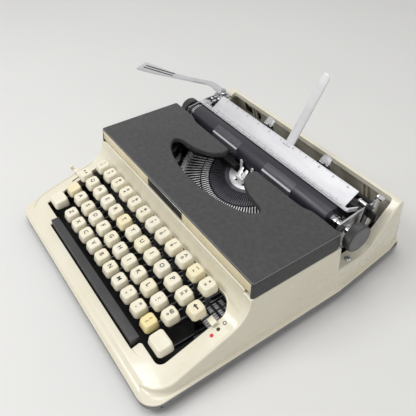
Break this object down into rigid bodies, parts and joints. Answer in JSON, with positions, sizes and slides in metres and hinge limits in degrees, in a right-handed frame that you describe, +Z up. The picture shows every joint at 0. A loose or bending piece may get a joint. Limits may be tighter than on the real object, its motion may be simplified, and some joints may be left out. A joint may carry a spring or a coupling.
{
  "type": "portable typewriter",
  "caption": "Portable typewriter: cream moulded body with a sloping keyboard, a dark hinged ribbon cover over a fan of type bars, and a sliding carriage with platen and return lever.",
  "frame": {"origin": "centre of the four foot-screw holes, on the table under the rubber feet", "axes": "+X to the typist's right, +Y to the rear, +Z up"},
  "size_m": [0.41, 0.325, 0.1905],
  "materials": {
    "cream_paint": "semi-gloss cream paint, lightly yellowed",
    "dark_cover": "fine-grained charcoal finish",
    "dark_base": "matt black paint",
    "foot_rubber": "matt moulded rubber",
    "black_plate": "gloss black, bare",
    "bright_steel": "bright nickel or chrome plating",
    "plated_steel": "zinc-plated pressed steel",
    "type_steel": "bare spring steel",
    "segment_iron": "slotted casting, oiled",
    "satin_aluminium": "satin sheet",
    "clear_plastic": "clear acrylic",
    "ribbon_black": "ink-black spool and wound ribbon",
    "platen_rubber": "hard blue-black rubber",
    "dark_plastic": "dark grey moulded plastic",
    "white_plastic": "white moulded plastic",
    "brass_wheel": "plain brass",
    "bell_steel": "plated pressed bell",
    "ivory_plastic": "ivory moulded plastic with dark legends"
  },
  "bodies": {
    "body": {"base_pan": "dark_base", "rubber_feet": "foot_rubber", "body_shell": "cream_paint", "shell_screws": "bright_steel", "side_frames": "plated_steel", "cross_bar": "plated_steel", "frame_rods": "bright_steel", "lever_comb": "plated_steel", "card_holders": "clear_plastic", "spool_cups": "plated_steel", "carriage_rail": "bright_steel", "bell": "bell_steel"},
    "cover": {"ribbon_cover": "dark_cover", "cover_fascia": "cream_paint", "nameplate": "black_plate"},
    "basket": {"segment": "segment_iron", "segment_plate": "satin_aluminium", "typebars": "type_steel", "type_guide": "satin_aluminium"},
    "typebar": {"typebar_t": "type_steel"},
    "vibrator": {"ribbon_vibrator": "plated_steel"},
    "spool_l": {"spool_left": "ribbon_black"},
    "spool_r": {"spool_right": "ribbon_black"},
    "carriage": {"carriage_frame": "plated_steel", "end_plate_left": "plated_steel", "end_plate_right": "plated_steel", "paper_table": "satin_aluminium", "margin_rail": "dark_base"},
    "platen": {"platen_roller": "platen_rubber", "platen_shaft": "bright_steel", "knob_left": "dark_plastic", "knob_right": "dark_plastic", "ratchet_wheel": "plated_steel"},
    "feed": {"feed_roller": "platen_rubber"},
    "support": {"paper_support": "white_plastic"},
    "bail": {"paper_bail": "bright_steel"},
    "stop_l": {"margin_stop_left": "bright_steel"},
    "stop_r": {"margin_stop_right": "bright_steel"},
    "return": {"return_lever": "bright_steel"},
    "paper_rel": {"paper_release": "dark_plastic"},
    "carriage_rel": {"carriage_release": "bright_steel"},
    "drum": {"mainspring_drum": "plated_steel"},
    "escapement": {"escapement_wheel": "brass_wheel"},
    "selector": {"ribbon_selector": "ivory_plastic"},
    "touch": {"touch_lever": "ivory_plastic"},
    "space": {"space_bar": "dark_plastic"},
    "keys_1": {"levers_row_1": "plated_steel", "caps_row_1": "ivory_plastic"},
    "keys_2": {"levers_row_2": "plated_steel", "caps_row_2": "ivory_plastic"},
    "keys_3": {"levers_row_3": "plated_steel", "caps_row_3": "ivory_plastic"},
    "keys_4": {"levers_row_4": "plated_steel", "caps_row_4": "ivory_plastic"},
    "letter_t": {"key_t": "ivory_plastic"},
    "margin_key": {"margin_release_key": "ivory_plastic"},
    "back_key": {"backspace_key": "ivory_plastic"},
    "lock_key": {"shift_lock_key": "ivory_plastic"},
    "shift": {"shift_levers": "plated_steel", "shift_caps": "ivory_plastic"}
  },
  "joints": [
    {"name": "cover_lift", "type": "hinge", "parent": "body", "child": "cover", "pos_m": [0, 0.045, 0.0845], "axis": [1, 0, 0], "range_deg": [-70, 0]},
    {"name": "carriage_travel", "type": "slide", "parent": "body", "child": "carriage", "axis": [1, 0, 0], "range_m": [-0.112, 0.112]},
    {"name": "platen_turn", "type": "hinge", "parent": "carriage", "child": "platen", "pos_m": [0, 0.0725, 0.0775], "axis": [1, 0, 0], "continuous": true},
    {"name": "feed_turn", "type": "hinge", "parent": "carriage", "child": "feed", "pos_m": [0, 0.07, 0.05786], "axis": [1, 0, 0], "continuous": true},
    {"name": "return_swing", "type": "hinge", "parent": "carriage", "child": "return", "pos_m": [-0.12, 0.111, 0.0937], "axis": [0, 0, 1], "range_deg": [0, 25], "stiffness_Nm_per_rad": 0.3, "springref_deg": -5.73},
    {"name": "bail_lift", "type": "hinge", "parent": "carriage", "child": "bail", "pos_m": [0, 0.094, 0.086], "axis": [1, 0, 0], "range_deg": [-50, 0]},
    {"name": "support_fold", "type": "hinge", "parent": "carriage", "child": "support", "pos_m": [0.01, 0.107, 0.092], "axis": [0, 1, 0], "range_deg": [0, 68]},
    {"name": "stop_left_slide", "type": "slide", "parent": "carriage", "child": "stop_l", "axis": [1, 0, 0], "range_m": [-0.06, 0.035]},
    {"name": "stop_right_slide", "type": "slide", "parent": "carriage", "child": "stop_r", "axis": [1, 0, 0], "range_m": [-0.04, 0.055]},
    {"name": "paper_release_tilt", "type": "hinge", "parent": "carriage", "child": "paper_rel", "pos_m": [0.1303, 0.104, 0.07], "axis": [1, 0, 0], "range_deg": [0, 18]},
    {"name": "carriage_release_tilt", "type": "hinge", "parent": "carriage", "child": "carriage_rel", "pos_m": [0.133, 0.09, 0.062], "axis": [1, 0, 0], "range_deg": [0, 12], "stiffness_Nm_per_rad": 0.05, "springref_deg": -11.46},
    {"name": "drum_turn", "type": "hinge", "parent": "body", "child": "drum", "pos_m": [-0.08, 0.124, 0.02], "axis": [0, 0, 1], "range_deg": [-330, 330]},
    {"name": "escapement_turn", "type": "hinge", "parent": "body", "child": "escapement", "pos_m": [0, 0.108, 0.033], "axis": [0, 1, 0], "continuous": true},
    {"name": "selector_slide", "type": "slide", "parent": "body", "child": "selector", "axis": [0, 0.9563, 0.2924], "range_m": [-0.014, 0]},
    {"name": "touch_slide", "type": "slide", "parent": "body", "child": "touch", "axis": [0, 0.9563, 0.2924], "range_m": [-0.006, 0.006]},
    {"name": "space_press", "type": "hinge", "parent": "body", "child": "space", "pos_m": [0, 0.04, 0.0265], "axis": [1, 0, 0], "range_deg": [0, 1.6], "stiffness_Nm_per_rad": 6, "springref_deg": -11.46},
    {"name": "keys_1_press", "type": "hinge", "parent": "body", "child": "keys_1", "pos_m": [0, 0.04, 0.0265], "axis": [1, 0, 0], "range_deg": [0, 5.5], "stiffness_Nm_per_rad": 4, "springref_deg": -11.46},
    {"name": "keys_2_press", "type": "hinge", "parent": "body", "child": "keys_2", "pos_m": [0, 0.04, 0.0265], "axis": [1, 0, 0], "range_deg": [0, 4.8], "stiffness_Nm_per_rad": 4, "springref_deg": -11.46},
    {"name": "keys_3_press", "type": "hinge", "parent": "body", "child": "keys_3", "pos_m": [0, 0.04, 0.0265], "axis": [1, 0, 0], "range_deg": [0, 4.4], "stiffness_Nm_per_rad": 4, "springref_deg": -14.32},
    {"name": "keys_4_press", "type": "hinge", "parent": "body", "child": "keys_4", "pos_m": [0, 0.04, 0.0265], "axis": [1, 0, 0], "range_deg": [0, 4], "stiffness_Nm_per_rad": 4, "springref_deg": -14.32},
    {"name": "key_t_press", "type": "hinge", "parent": "body", "child": "letter_t", "pos_m": [0, 0.04, 0.0265], "axis": [1, 0, 0], "range_deg": [0, 4.8], "stiffness_Nm_per_rad": 0.6, "springref_deg": -11.46},
    {"name": "margin_release_press", "type": "hinge", "parent": "body", "child": "margin_key", "pos_m": [0, 0.04, 0.0265], "axis": [1, 0, 0], "range_deg": [0, 4.8], "stiffness_Nm_per_rad": 0.6, "springref_deg": -11.46},
    {"name": "backspace_press", "type": "hinge", "parent": "body", "child": "back_key", "pos_m": [0, 0.04, 0.0265], "axis": [1, 0, 0], "range_deg": [0, 4.8], "stiffness_Nm_per_rad": 0.6, "springref_deg": -11.46},
    {"name": "shift_lock_press", "type": "hinge", "parent": "body", "child": "lock_key", "pos_m": [0, 0.04, 0.0265], "axis": [1, 0, 0], "range_deg": [0, 4.4], "stiffness_Nm_per_rad": 0.6, "springref_deg": -11.46},
    {"name": "shift_press", "type": "hinge", "parent": "body", "child": "shift", "pos_m": [0, 0.04, 0.0265], "axis": [1, 0, 0], "range_deg": [0, 4], "stiffness_Nm_per_rad": 3, "springref_deg": -14.32},
    {"name": "basket_shift", "type": "slide", "parent": "body", "child": "basket", "axis": [0, 0, 1], "range_m": [-0.0062, 0]},
    {"name": "typebar_swing", "type": "hinge", "parent": "basket", "child": "typebar", "pos_m": [0, 0.02477, 0.0525], "axis": [1, 0, 0], "range_deg": [-150, 0]},
    {"name": "vibrator_lift", "type": "slide", "parent": "body", "child": "vibrator", "axis": [0, 0, 1], "range_m": [0, 0.0072]},
    {"name": "spool_left_turn", "type": "hinge", "parent": "body", "child": "spool_l", "pos_m": [-0.092, -0.002, 0.069], "axis": [0, 0, 1], "continuous": true},
    {"name": "spool_right_turn", "type": "hinge", "parent": "body", "child": "spool_r", "pos_m": [0.092, -0.002, 0.069], "axis": [0, 0, 1], "continuous": true}
  ],
  "couplings": [
    {"joint": "feed_turn", "follows": "platen_turn", "ratio": -2.9},
    {"joint": "drum_turn", "follows": "carriage_travel", "rad_per_m": 50},
    {"joint": "escapement_turn", "follows": "carriage_travel", "rad_per_m": 200},
    {"joint": "basket_shift", "follows": "shift_press", "m_per_rad": -0.0859},
    {"joint": "typebar_swing", "follows": "key_t_press", "ratio": -31},
    {"joint": "vibrator_lift", "follows": "key_t_press", "m_per_rad": 0.0834},
    {"joint": "spool_right_turn", "follows": "spool_left_turn", "ratio": 1.4615}
  ]
}
